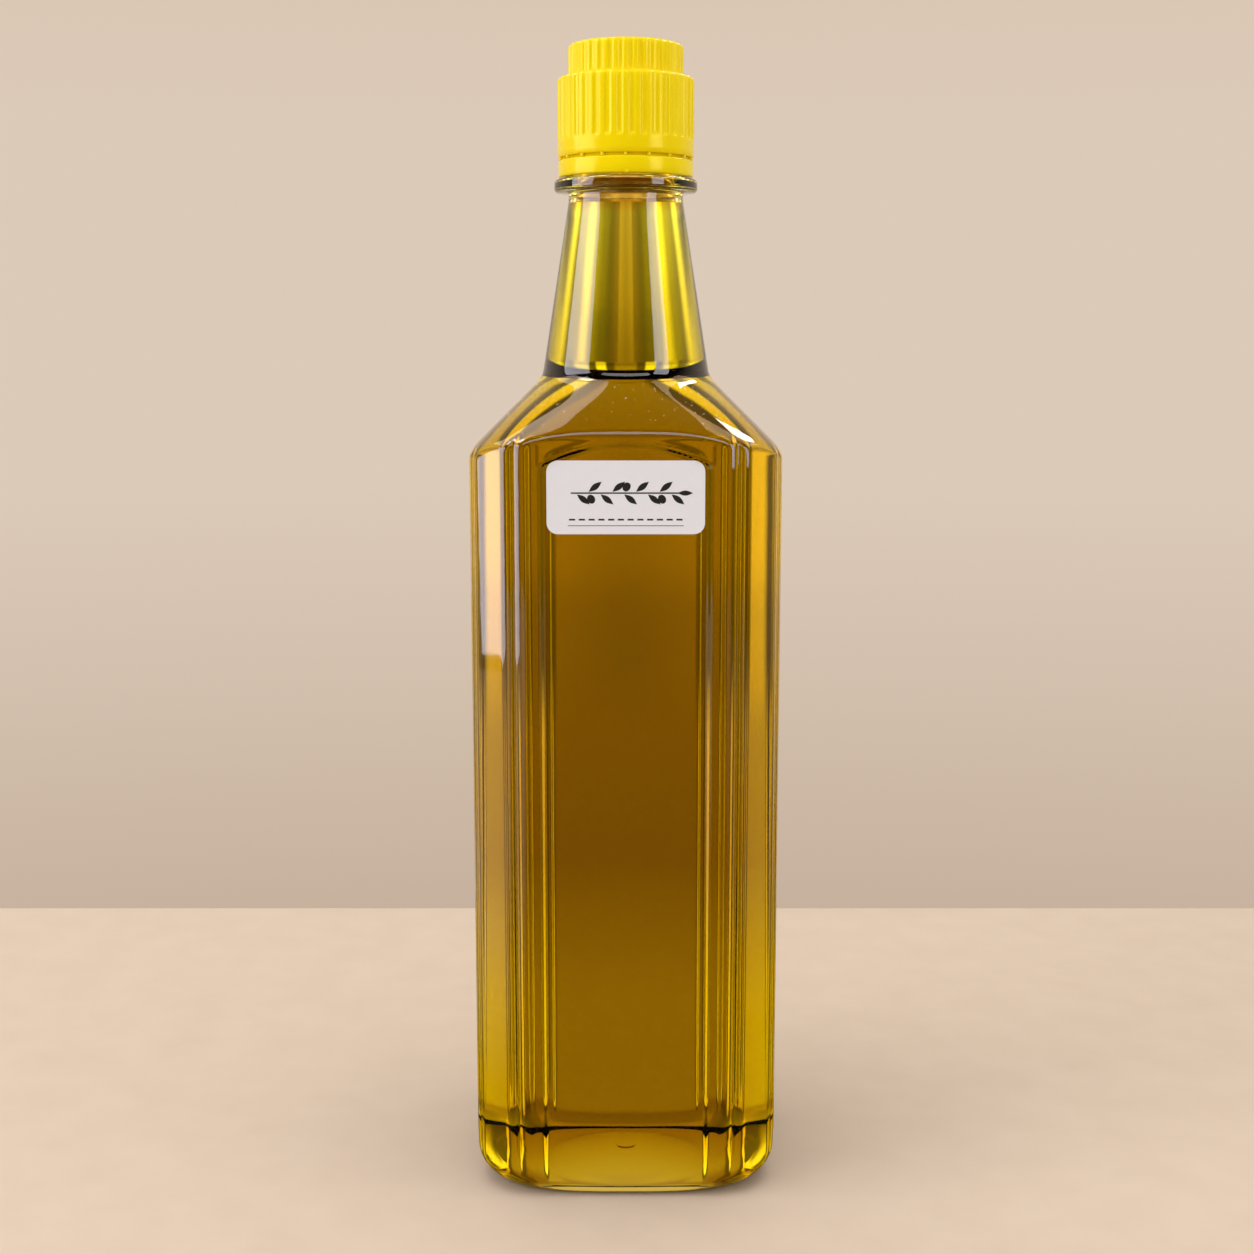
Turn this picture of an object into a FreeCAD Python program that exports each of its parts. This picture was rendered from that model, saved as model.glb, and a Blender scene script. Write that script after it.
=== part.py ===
import FreeCAD, Part
import math
import os

# A one litre olive oil bottle: clear, blow-moulded, of rectangular plan with two beads at each side
# of its corner panels, and with it the oil, a stepped screw cap and a small paper label.
# Millimetres, +Z up, the middle of the base at the origin, the labelled front towards -Y.

# body
body_width = 78.8
body_depth = 69.0
body_height = 211.8
wall = 0.45
base_wall = 1.2
corner_panel = 8.0
bead_run = 7.3
bead_fall = 2.5
bead_rise = 0.5
panel_frame = 2.35
panel_bevel = 1.8
panel_depth = 0.7
panel_margin_top = 2.6
panel_arch_radius = 45.0

# shoulder: 45 degrees down from the neck, round at its top and nearly square at its foot
neck_foot_radius = 21.8
shoulder_drop = 1.0
shoulder_squareness = 3.75
shoulder_square_radius = 36.0
shoulder_outreach = 10.0
shoulder_sections = 7
neck_blend = 4.0
neck_ledge = 0.2

# heel and base
heel_height = 11.0
heel_inset = 4.2
heel_margin = 0.8
heel_round = 2.2
foot_squareness = 3.05
heel_squareness = 5.0
heel_sections = 8
heel_crowding = 1.4
heel_squaring = 0.6
pushup_margin = 7.1
pushup_height = 4.5
pushup_flat = 0.05
pushup_skirt = 0.5
gate_radius = 2.5
gate_height = 0.8
gate_root = 0.5

# neck, support ring and finish
neck_top_radius = 14.75
neck_height = 44.5
neck_collar = 2.3
neck_wall_top = 1.9
neck_wall_foot = wall
ring_reach = 3.65
ring_thickness = 3.2
ring_edge = 0.9
finish_radius = 14.4
finish_wall = 2.0
finish_height = 23.2

# cap
cap_ledge = 2.2
cap_upper_height = 8.1
cap_setback = 2.8
cap_lower_wall = 1.5
cap_wall = 1.3
cap_finish_gap = 1.2
cap_ring_gap = 0.5
cap_edge = 1.1
rib_count = 36
rib_width = 1.1
rib_proud = 0.4
skirt_height = 4.4
band_height = 4.2
slot_height = 0.8
bridge_count = 18
bridge_width = 0.8
bridge_root = 0.2
band_inset = 0.15
band_relief = 0.3

# contents and label
oil_headroom = 2.0
label_margin = 0.3
label_height = 18.1
label_corner = 2.8
label_thickness = 0.15
label_clearance = 1.2

# heights and radii that follow from the sizes above
neck_foot_height = body_height
neck_top_height = neck_foot_height + neck_height
ring_underside = neck_top_height + neck_collar
ring_top = ring_underside + ring_thickness
ring_radius = neck_top_radius + ring_reach
mouth_height = ring_top + finish_height
mouth_radius = finish_radius - finish_wall
cap_bore = finish_radius + cap_finish_gap
cap_lower_root = cap_bore + cap_lower_wall
cap_upper_root = cap_lower_root - cap_setback
cap_step_height = mouth_height + cap_ledge
cap_height = cap_step_height + cap_upper_height

Vec = FreeCAD.Vector
up = Vec(0, 0, 1)


def lined(points):
    """A closed straight-sided wire through the points."""
    return Part.makePolygon(points + [points[0]])


def turned(points):
    """The solid that a closed outline of (radius, height) points sweeps about the axis."""
    face = Part.Face(lined([Vec(r, 0, z) for r, z in points]))
    return face.revolve(Vec(0, 0, 0), up, 360)


def ring(outer, inner, low, high):
    """A plain ring between two radii and two heights."""
    return turned([(inner, low), (outer, low), (outer, high), (inner, high)])


def oval(half_x, half_y, squareness, height, count=48):
    """A closed curve that runs from an ellipse, squareness 2, towards a rectangle."""
    points = []
    for step in range(count):
        angle = 2.0 * math.pi * step / count
        cos = math.cos(angle)
        sin = math.sin(angle)
        reach = (abs(cos / half_x) ** squareness + abs(sin / half_y) ** squareness) ** (-1.0 / squareness)
        points.append(Vec(reach * cos, reach * sin, height))
    curve = Part.BSplineCurve()
    curve.interpolate(Points=points, PeriodicFlag=True)
    return Part.Wire(curve.toShape())


def corner_points():
    """The four points of the front right corner, from the front face round to the side face."""
    half_x = body_width / 2.0
    half_y = body_depth / 2.0
    leg = corner_panel / math.sqrt(2.0)
    start = Vec(half_x - bead_fall - leg - bead_run, -half_y, 0)
    panel_start = start + Vec(bead_run, bead_fall, 0)
    panel_end = panel_start + Vec(leg, leg, 0)
    end = panel_end + Vec(bead_fall, bead_run, 0)
    return [start, panel_start, panel_end, end]


def bead_edges(start, end):
    """Two like arcs side by side, bulging out of the line from start to end."""
    middle = (start + end) * 0.5
    along = end - start
    outward = Vec(along.y, -along.x, 0).normalize() * bead_rise
    edges = []
    for low, high in ((start, middle), (middle, end)):
        crown = (low + high) * 0.5 + outward
        edges.append(Part.Arc(low, crown, high).toShape())
    return edges


def plan_face(inset):
    """The body's section, moved in by a wall."""
    start, panel_start, panel_end, end = corner_points()
    corner = bead_edges(start, panel_start)
    corner.append(Part.LineSegment(panel_start, panel_end).toShape())
    corner += bead_edges(panel_end, end)
    half = Part.Compound(corner)
    mirrored = half.mirror(Vec(0, 0, 0), Vec(1, 0, 0))
    front = Part.Compound([half, mirrored])
    back = front.mirror(Vec(0, 0, 0), Vec(0, 1, 0))
    edges = front.Edges + back.Edges
    edges.append(Part.LineSegment(start, Vec(-start.x, start.y, 0)).toShape())
    edges.append(Part.LineSegment(Vec(start.x, -start.y, 0), Vec(-start.x, -start.y, 0)).toShape())
    edges.append(Part.LineSegment(end, Vec(end.x, -end.y, 0)).toShape())
    edges.append(Part.LineSegment(Vec(-end.x, end.y, 0), Vec(-end.x, -end.y, 0)).toShape())
    face = Part.Face(Part.Wire(Part.__sortEdges__(edges)))
    if inset:
        face = face.makeOffset2D(-inset, 2, False, False)
    return face


def squareness_at(reach):
    """How square the shoulder is where it is that far out."""
    share = (reach - neck_foot_radius) / (shoulder_square_radius - neck_foot_radius)
    share = min(max(share, 0.0), 1.0)
    return 2.0 + (shoulder_squareness - 2.0) * share * share * (3.0 - 2.0 * share)


def shoulder_foot():
    """The widest reach of the shoulder's surface, clear outside the body, and its height."""
    reach = body_width / 2.0 + shoulder_outreach
    return reach, neck_foot_height - (reach - neck_foot_radius) * shoulder_drop


def neck_corner(inset):
    """Where the neck's cone would meet the shoulder, moved in by a wall, and the blend's two ends."""
    lean = math.atan((neck_foot_radius - neck_top_radius) / (neck_top_height - neck_foot_height))
    fall = math.atan(shoulder_drop)
    reach = neck_blend * math.tan((math.pi / 2.0 - fall - lean) / 2.0)
    sink = inset / math.cos(fall) - inset * shoulder_drop
    corner = Vec(neck_foot_radius - inset, 0, neck_foot_height - sink)
    on_shoulder = corner + Vec(math.cos(fall), 0, -math.sin(fall)) * reach
    on_neck = corner + Vec(-math.sin(lean), 0, math.cos(lean)) * reach
    return corner, on_shoulder, on_neck


def shoulder_solid(inset):
    """What lies under the shoulder's surface up to the neck's blend, moved in by a wall."""
    sink = inset * math.sqrt(1.0 + shoulder_drop ** 2)
    widest, lowest = shoulder_foot()
    _, on_shoulder, _ = neck_corner(inset)
    wires = []
    for step in range(shoulder_sections):
        share = step / (shoulder_sections - 1.0)
        reach = widest + (on_shoulder.x - widest) * share
        height = lowest - sink + (on_shoulder.z - lowest + sink) * share
        squareness = squareness_at(reach) if share < 1.0 else 2.0
        reach += neck_ledge
        wires.append(oval(reach, reach, squareness, height))
    return Part.makeLoft(wires, True, False)


def heel_solid(inset, floor):
    """The foot's rounding, moved in by a wall and up to the floor. Its sections crowd at the foot."""
    wires = []
    for step in range(heel_sections):
        share = (step / (heel_sections - 1.0)) ** heel_crowding
        drawn = heel_inset * (1.0 - share) ** heel_round - heel_margin + inset
        squareness = foot_squareness + (heel_squareness - foot_squareness) * share ** heel_squaring
        height = floor + (heel_height - floor) * share
        wires.append(oval(body_width / 2.0 - drawn, body_depth / 2.0 - drawn, squareness, height))
    return Part.makeLoft(wires, True, False)


def panel_half_width(turn):
    """Half the flat width of a face's sunk panel; the side faces are narrower than the front."""
    start, _, _, end = corner_points()
    flat = abs(end.y) if turn % 180 else start.x
    return flat - panel_frame - panel_bevel


def panel_top(reach):
    """The height of the arch's crown on a face that far from the axis."""
    return neck_foot_height - (reach - neck_foot_radius) * shoulder_drop - panel_margin_top


def panel_slabs(inset):
    """What the four sunk face panels take off: flat, bevelled at the sides, and open at the top."""
    slabs = []
    for half, turn in ((body_depth / 2.0, 0), (body_width / 2.0, 90),
                       (body_depth / 2.0, 180), (body_width / 2.0, 270)):
        inner = panel_half_width(turn) + inset
        deep = half - panel_depth - inset
        flare = panel_depth / panel_bevel
        beyond = inner + 2.0 * panel_bevel
        shallow = deep + flare * (beyond - inner)
        outline = [Vec(-inner, -deep, 0), Vec(inner, -deep, 0),
                   Vec(beyond, -shallow, 0), Vec(-beyond, -shallow, 0)]
        slab = Part.Face(lined(outline)).extrude(up * neck_foot_height)
        slab.rotate(Vec(0, 0, 0), up, turn)
        slabs.append(slab)
    return slabs


def arched_slabs():
    """The same on the outside, closed at the top by an arc that leaves a frame below the shoulder."""
    slabs = []
    for slab, half, turn in zip(panel_slabs(0.0), (body_depth, body_width) * 2, (0, 90, 180, 270)):
        reach = half / 2.0
        side = panel_half_width(turn) + panel_bevel
        apex = panel_top(reach)
        drop = panel_arch_radius - math.sqrt(panel_arch_radius ** 2 - side ** 2)
        foot = Vec(-side, -reach - panel_depth, -panel_depth)
        left = Vec(-side, foot.y, apex - drop)
        right = Vec(side, foot.y, apex - drop)
        edges = [Part.LineSegment(foot, left).toShape(),
                 Part.Arc(left, Vec(0, foot.y, apex), right).toShape(),
                 Part.LineSegment(right, Vec(side, foot.y, foot.z)).toShape(),
                 Part.LineSegment(Vec(side, foot.y, foot.z), foot).toShape()]
        arch = Part.Face(Part.Wire(edges)).extrude(Vec(0, reach, 0))
        arch.rotate(Vec(0, 0, 0), up, turn)
        slabs.append(slab.common(arch))
    return slabs


def pushup(thickness):
    """The domed hollow under the base, or with the plastic over it."""
    pushup_radius = min(body_width, body_depth) / 2.0 - heel_inset + heel_margin - pushup_margin
    crown = pushup_height + pushup_flat
    sphere_radius = (pushup_radius ** 2 + crown ** 2) / (2.0 * crown) + thickness
    dome = Part.makeSphere(sphere_radius, Vec(0, 0, crown + thickness - sphere_radius))
    depth = pushup_height + thickness + pushup_skirt
    return dome.common(Part.makeCylinder(pushup_radius + thickness, depth, Vec(0, 0, -pushup_skirt)))


def body_solid(inset, floor):
    """The whole body up to the neck's foot, moved in by a wall."""
    _, lowest = shoulder_foot()
    plan = plan_face(inset)
    plan.translate(Vec(0, 0, floor))
    lower = plan.extrude(up * (heel_height - floor)).common(heel_solid(inset, floor))
    plan.translate(Vec(0, 0, heel_height - floor))
    middle = plan.extrude(up * (lowest - heel_height))
    plan.translate(Vec(0, 0, lowest - heel_height))
    upper = plan.extrude(up * (neck_foot_height - lowest)).common(shoulder_solid(inset))
    body = lower.fuse([middle, upper]).removeSplitter()
    slabs = panel_slabs(inset) if inset else arched_slabs()
    return body.cut(slabs).removeSplitter()


def neck_solid(inset_foot, inset_top, top):
    """The neck: a blend out of the shoulder, the cone and a straight end."""
    corner, on_shoulder, on_neck = neck_corner(inset_foot)
    middle = corner + ((on_shoulder + on_neck) * 0.5 - corner) * 0.5
    foot = Vec(0, 0, on_shoulder.z)
    neck_end = Vec(neck_top_radius - inset_top, 0, neck_top_height)
    top_end = Vec(neck_top_radius - inset_top, 0, top)
    axis_end = Vec(0, 0, top)
    edges = [Part.LineSegment(foot, on_shoulder).toShape(),
             Part.Arc(on_shoulder, middle, on_neck).toShape(),
             Part.LineSegment(on_neck, neck_end).toShape(),
             Part.LineSegment(neck_end, top_end).toShape(),
             Part.LineSegment(top_end, axis_end).toShape(),
             Part.LineSegment(axis_end, foot).toShape()]
    return Part.Face(Part.Wire(edges)).revolve(Vec(0, 0, 0), up, 360)


def inner_solid():
    """Everything inside the bottle's walls, up to the mouth."""
    body = body_solid(wall, base_wall).cut(pushup(base_wall))
    neck = neck_solid(neck_wall_foot, neck_wall_top, ring_underside)
    throat = turned([(0, neck_top_height), (neck_top_radius - neck_wall_top, neck_top_height),
                     (neck_top_radius - neck_wall_top, ring_underside),
                     (mouth_radius, ring_top),
                     (mouth_radius, mouth_height), (0, mouth_height)])
    return body.fuse([neck, throat]).removeSplitter()


def outer_solid():
    """The bottle as if it were solid."""
    body = body_solid(0.0, 0.0).cut(pushup(0.0))
    neck = neck_solid(0.0, 0.0, ring_underside)
    support = Part.makeCylinder(ring_radius, ring_thickness, Vec(0, 0, ring_underside))
    rims = [edge for edge in support.Edges if abs(edge.Length - 2.0 * math.pi * ring_radius) < 0.01]
    support = support.makeFillet(ring_edge, rims)
    finish = Part.makeCylinder(finish_radius, mouth_height - ring_top, Vec(0, 0, ring_top))
    gate = Part.makeCylinder(gate_radius, gate_height + gate_root, Vec(0, 0, pushup_height - gate_height))
    return body.fuse([neck, support, finish, gate]).removeSplitter()


def ribs(radius, low, high):
    """A ring of fine upright ribs on a drum of that radius."""
    made = []
    for step in range(rib_count):
        rib = Part.makeBox(cap_wall + rib_proud, rib_width, high - low,
                           Vec(radius - cap_wall, -rib_width / 2.0, low))
        rib.rotate(Vec(0, 0, 0), up, 360.0 * step / rib_count)
        made.append(rib)
    return made


def cap_solid():
    """The stepped cap with its tamper band, which thin bridges hold below a slot."""
    foot = ring_top + cap_ring_gap
    slot_low = foot + band_height
    slot_high = slot_low + slot_height
    skirt_top = slot_high + skirt_height
    skirt_radius = cap_lower_root + rib_proud
    upper_bore = cap_upper_root - cap_wall
    outer = turned([(0, slot_low), (cap_lower_root, slot_low), (skirt_radius, slot_high),
                    (skirt_radius, skirt_top), (cap_lower_root, skirt_top + rib_proud),
                    (cap_lower_root, cap_step_height - cap_edge),
                    (cap_lower_root - cap_edge, cap_step_height),
                    (cap_upper_root, cap_step_height), (cap_upper_root, cap_height - cap_edge),
                    (cap_upper_root - cap_edge, cap_height), (0, cap_height)])
    outer = outer.fuse(ribs(cap_lower_root, skirt_top, cap_step_height - cap_edge)
                       + ribs(cap_upper_root, cap_step_height, cap_height - cap_edge))
    band = ring(skirt_radius - band_inset, cap_bore + band_relief, foot, slot_low)
    hollow = turned([(0, foot), (cap_bore, foot), (cap_bore, mouth_height), (upper_bore, mouth_height),
                     (upper_bore, cap_height - cap_wall), (0, cap_height - cap_wall)])
    slot = ring(skirt_radius + cap_wall, cap_bore, slot_low, slot_high)
    bridges = []
    for step in range(bridge_count):
        bridge = Part.makeBox(skirt_radius - band_inset - cap_bore + bridge_root, bridge_width,
                              slot_height, Vec(cap_bore - bridge_root, -bridge_width / 2.0, slot_low))
        bridge.rotate(Vec(0, 0, 0), up, 360.0 * (step + 0.5) / bridge_count)
        bridges.append(bridge)
    slot = slot.cut(bridges)
    return outer.fuse(band).cut(slot).cut(hollow).removeSplitter()


def label_solid():
    """The paper label on the sunk panel of the front face."""
    reach = body_depth / 2.0
    half_width = panel_half_width(0) - label_margin
    arch_fall = panel_arch_radius - math.sqrt(panel_arch_radius ** 2 - (half_width - label_corner) ** 2)
    foot = panel_top(reach) - arch_fall - label_clearance - label_height
    label = Part.makeBox(2.0 * half_width, label_thickness, label_height,
                         Vec(-half_width, panel_depth - reach - label_thickness, foot))
    corners = [edge for edge in label.Edges if abs(edge.Length - label_thickness) < 1e-6]
    return label.makeFillet(label_corner, corners)


def contents(space):
    """The oil, which fills the bottle up to a little under the support ring."""
    filled = Part.makeBox(2.0 * body_width, 2.0 * body_depth, ring_underside - oil_headroom,
                          Vec(-body_width, -body_depth, 0))
    return space.common(filled)


def export(name, shape):
    """Writes one node, and says how many solids it holds."""
    print(name, len(shape.Solids), round(shape.Volume, 1), shape.isValid())
    shape.exportStep(os.path.join("parts", name + ".step"))


os.makedirs("parts", exist_ok=True)
inside = inner_solid()
export("bottle", outer_solid().cut(inside))
export("oil", contents(inside))
export("cap", cap_solid())
export("label", label_solid())
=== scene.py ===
import math
import random

import bmesh
import bpy
from mathutils import Matrix, Vector


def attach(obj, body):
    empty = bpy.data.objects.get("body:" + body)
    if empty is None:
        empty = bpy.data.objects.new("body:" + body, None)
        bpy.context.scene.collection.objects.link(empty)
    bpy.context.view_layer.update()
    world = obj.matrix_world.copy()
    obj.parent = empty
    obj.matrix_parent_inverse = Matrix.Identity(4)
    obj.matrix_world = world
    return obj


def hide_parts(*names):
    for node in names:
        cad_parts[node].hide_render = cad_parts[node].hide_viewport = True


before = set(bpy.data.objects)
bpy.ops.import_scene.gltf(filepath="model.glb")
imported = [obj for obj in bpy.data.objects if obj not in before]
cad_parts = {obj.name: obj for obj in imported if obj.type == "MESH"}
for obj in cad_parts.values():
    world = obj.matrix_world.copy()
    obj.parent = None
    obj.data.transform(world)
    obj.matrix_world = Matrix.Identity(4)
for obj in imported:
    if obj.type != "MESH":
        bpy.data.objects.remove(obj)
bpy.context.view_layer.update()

mm = 0.001
scene = bpy.context.scene
scene.view_settings.view_transform = "Standard"
print("frame loaded:", sorted(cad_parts))


def hexColour(code):
    # sRGB hex to the linear values that the sockets take
    channels = [int(code[i:i + 2], 16) / 255.0 for i in (0, 2, 4)]
    return tuple(c / 12.92 if c <= 0.04045 else ((c + 0.055) / 1.055) ** 2.4 for c in channels) + (1.0,)


def addNode(tree, kind, inputs=None, **settings):
    # one node with its settings; an input is either a plain value or the socket that feeds it
    node = tree.nodes.new(kind)
    for name, value in settings.items():
        setattr(node, name, value)
    for name, value in (inputs or {}).items():
        if isinstance(value, bpy.types.NodeSocket):
            tree.links.new(value, node.inputs[name])
        else:
            node.inputs[name].default_value = value
    return node


def newMaterial(name):
    # an empty material with an output and a Principled shader
    material = bpy.data.materials.new(name)
    material.use_nodes = True
    tree = material.node_tree
    tree.nodes.clear()
    output = addNode(tree, "ShaderNodeOutputMaterial")
    shader = addNode(tree, "ShaderNodeBsdfPrincipled")
    tree.links.new(shader.outputs["BSDF"], output.inputs["Surface"])
    coords = addNode(tree, "ShaderNodeTexCoord").outputs["Object"]
    return material, tree, shader, output, coords


def greyRamp(tree, value, rows, interpolation="LINEAR"):
    # a ramp of plain light levels over one value
    ramp = addNode(tree, "ShaderNodeValToRGB", {"Fac": value})
    ramp.color_ramp.interpolation = interpolation
    stops = ramp.color_ramp.elements
    stops[0].position, stops[0].color = rows[0][0], (rows[0][1],) * 3 + (1.0,)
    stops[1].position, stops[1].color = rows[-1][0], (rows[-1][1],) * 3 + (1.0,)
    for place, light in rows[1:-1]:
        stops.new(place).color = (light,) * 3 + (1.0,)
    return ramp.outputs["Color"]


def startRing(mesh, points):
    # a closed ring of vertices, put where the points say
    made = bmesh.ops.create_circle(mesh, cap_ends=False, segments=len(points), radius=0.01)
    ring = made["verts"]
    for vert, point in zip(ring, points):
        vert.co = point
    return ring


def nextRing(mesh, ring, points):
    # extrudes the ring once and puts the new vertices where the points say
    count = len(ring)
    edges = [mesh.edges.get((ring[i], ring[(i + 1) % count])) for i in range(count)]
    made = bmesh.ops.extrude_edge_only(mesh, edges=edges)
    fresh = {item for item in made["geom"] if isinstance(item, bmesh.types.BMVert)}
    grown = []
    for vert in ring:
        ends = [edge.other_vert(vert) for edge in vert.link_edges]
        grown.append(next(end for end in ends if end in fresh))
    for vert, point in zip(grown, points):
        vert.co = point
    return grown


def closeRing(mesh, ring, centre):
    # shuts a ring with a fan that meets in one vertex
    grown = nextRing(mesh, ring, [v.co.copy() for v in ring])
    bmesh.ops.pointmerge(mesh, verts=grown, merge_co=centre)


def finishPiece(mesh, name, slot, *materials):
    # turns a bmesh into a smooth piece that rides on the root body
    bmesh.ops.recalc_face_normals(mesh, faces=mesh.faces)
    for face in mesh.faces:
        face.smooth = True
    data = bpy.data.meshes.new(name)
    mesh.to_mesh(data)
    mesh.free()
    for material in materials:
        data.materials.append(material)
    piece = bpy.data.objects.new(name, data)
    scene.collection.objects.link(piece)
    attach(piece, "root")
    print(name, len(data.vertices), "vertices")
    return piece


def lowerOf(a, b, blend):
    # the lower of two numbers, rounded off where they cross
    share = max(blend - abs(a - b), 0.0) / blend
    return min(a, b) - share * share * blend * 0.25


def ease(value):
    value = min(max(value, 0.0), 1.0)
    return value * value * (3.0 - 2.0 * value)


def makePet(name, ior, tint="FBFCF6"):
    # clear PET, stretch blow moulded: glassy, with very slight slow waves and a few duller patches; the thick
    # neck end under the cap is painted golden, a painted reflection of the yellow cap and oil seen through it
    look = {"capYellowThrough": "F0D479", "capGlowLow": 0.252, "capGlowHigh": 0.259, "roughLow": 0.012,
            "roughHigh": 0.05, "waveLength": 16.0, "waveHeight": 0.035}
    material, tree, shader, output, coords = newMaterial(name)
    slow = addNode(tree, "ShaderNodeTexNoise",
                   {"Vector": coords, "Scale": 1000.0 / look["waveLength"], "Detail": 1.0})
    worn = addNode(tree, "ShaderNodeMapRange",
                   {"Value": slow.outputs["Fac"], "From Min": 0.35, "From Max": 0.7,
                    "To Min": look["roughLow"], "To Max": look["roughHigh"]})
    waves = addNode(tree, "ShaderNodeBump", {"Height": slow.outputs["Fac"], "Strength": 1.0,
                                             "Distance": look["waveHeight"] * mm})
    height = addNode(tree, "ShaderNodeSeparateXYZ", {"Vector": coords}).outputs["Z"]
    # painted reflection: from this height up the plastic takes on the cap's yellow, as if seen through it
    under = addNode(tree, "ShaderNodeMapRange",
                    {"Value": height, "From Min": look["capGlowLow"], "From Max": look["capGlowHigh"]},
                    interpolation_type="SMOOTHSTEP")
    tone = addNode(tree, "ShaderNodeMix",
                   {0: under.outputs["Result"], 6: hexColour(tint), 7: hexColour(look["capYellowThrough"])},
                   data_type="RGBA")
    tree.links.new(tone.outputs[2], shader.inputs["Base Color"])
    shader.inputs["Transmission Weight"].default_value = 1.0
    shader.inputs["IOR"].default_value = ior
    tree.links.new(worn.outputs["Result"], shader.inputs["Roughness"])
    tree.links.new(waves.outputs["Normal"], shader.inputs["Normal"])
    return material


def makeOil():
    # cold pressed olive oil: clear golden liquid, which deepens to brown with the thickness looked through;
    # its sides lie in the wall, whose own faces bend the light, so its index is 1
    look = {"ior": 1.0, "absorb": "F1E700", "density": 125.0, "clear": "FFFFFF", "cloud": "FFFBE6",
            "cloudSize": 30.0}
    material, tree, shader, output, coords = newMaterial("goldenPressedOil")
    cloud = addNode(tree, "ShaderNodeTexNoise",
                    {"Vector": coords, "Scale": 1000.0 / look["cloudSize"], "Detail": 2.0})
    tone = addNode(tree, "ShaderNodeMix", data_type="RGBA")
    tree.links.new(cloud.outputs["Fac"], tone.inputs["Factor"])
    tone.inputs[6].default_value = hexColour(look["clear"])
    tone.inputs[7].default_value = hexColour(look["cloud"])
    tree.links.new(tone.outputs[2], shader.inputs["Base Color"])
    shader.inputs["Transmission Weight"].default_value = 1.0
    shader.inputs["Roughness"].default_value = 0.0
    shader.inputs["IOR"].default_value = look["ior"]
    depth = addNode(tree, "ShaderNodeVolumeAbsorption",
                    {"Color": hexColour(look["absorb"]), "Density": look["density"]})
    tree.links.new(depth.outputs["Volume"], output.inputs["Volume"])
    return material


def makeCapPlastic():
    # lemon yellow polypropylene, injection moulded: glossy, a little translucent, with a fine orange peel
    look = {"face": "FFE806", "deep": "FBDC02", "peel": 0.9, "peelHeight": 0.012, "flow": 9.0, "ior": 1.49}
    material, tree, shader, output, coords = newMaterial("yellowMouldedPolypropylene")
    peel = addNode(tree, "ShaderNodeTexNoise",
                   {"Vector": coords, "Scale": 1000.0 / look["peel"], "Detail": 3.0})
    flow = addNode(tree, "ShaderNodeTexNoise",
                   {"Vector": coords, "Scale": 1000.0 / look["flow"], "Detail": 2.0})
    tone = addNode(tree, "ShaderNodeMix", data_type="RGBA")
    tree.links.new(flow.outputs["Fac"], tone.inputs["Factor"])
    tone.inputs[6].default_value = hexColour(look["face"])
    tone.inputs[7].default_value = hexColour(look["deep"])
    rough = addNode(tree, "ShaderNodeMapRange",
                    {"Value": flow.outputs["Fac"], "To Min": 0.13, "To Max": 0.22})
    bump = addNode(tree, "ShaderNodeBump", {"Height": peel.outputs["Fac"], "Strength": 1.0,
                                            "Distance": look["peelHeight"] * mm})
    tree.links.new(tone.outputs[2], shader.inputs["Base Color"])
    tree.links.new(rough.outputs["Result"], shader.inputs["Roughness"])
    tree.links.new(bump.outputs["Normal"], shader.inputs["Normal"])
    shader.inputs["IOR"].default_value = look["ior"]
    shader.inputs["Specular IOR Level"].default_value = 0.4
    shader.inputs["Specular Tint"].default_value = (1.0, 0.92, 0.3, 1.0)
    shader.inputs["Subsurface Weight"].default_value = 0.12
    shader.inputs["Subsurface Radius"].default_value = (1.0, 0.8, 0.1)
    shader.inputs["Subsurface Scale"].default_value = 1.2 * mm
    return material


def makePaper():
    # coated label paper, printed and die cut: matt, cool white, with a faint fibre
    look = {"paper": "F1F3FC", "shade": "E3E5F0", "fibre": 0.35, "fibreHeight": 0.01}
    material, tree, shader, output, coords = newMaterial("coatedLabelPaper")
    fibre = addNode(tree, "ShaderNodeTexNoise",
                    {"Vector": coords, "Scale": 1000.0 / look["fibre"], "Detail": 4.0})
    tone = addNode(tree, "ShaderNodeMix", data_type="RGBA")
    tree.links.new(fibre.outputs["Fac"], tone.inputs["Factor"])
    tone.inputs[6].default_value = hexColour(look["paper"])
    tone.inputs[7].default_value = hexColour(look["shade"])
    bump = addNode(tree, "ShaderNodeBump", {"Height": fibre.outputs["Fac"], "Strength": 0.6,
                                            "Distance": look["fibreHeight"] * mm})
    tree.links.new(tone.outputs[2], shader.inputs["Base Color"])
    tree.links.new(bump.outputs["Normal"], shader.inputs["Normal"])
    shader.inputs["Roughness"].default_value = 0.55
    return material


def makeInk():
    # black offset ink on the label: dense, with a slight gloss and a little mottle
    look = {"solid": "17150F", "thin": "2B2822", "mottle": 0.5}
    material, tree, shader, output, coords = newMaterial("blackPrintingInk")
    mottle = addNode(tree, "ShaderNodeTexNoise",
                     {"Vector": coords, "Scale": 1000.0 / look["mottle"], "Detail": 3.0})
    tone = addNode(tree, "ShaderNodeMix", data_type="RGBA")
    tree.links.new(mottle.outputs["Fac"], tone.inputs["Factor"])
    tone.inputs[6].default_value = hexColour(look["solid"])
    tone.inputs[7].default_value = hexColour(look["thin"])
    tree.links.new(tone.outputs[2], shader.inputs["Base Color"])
    shader.inputs["Roughness"].default_value = 0.42
    return material


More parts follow.
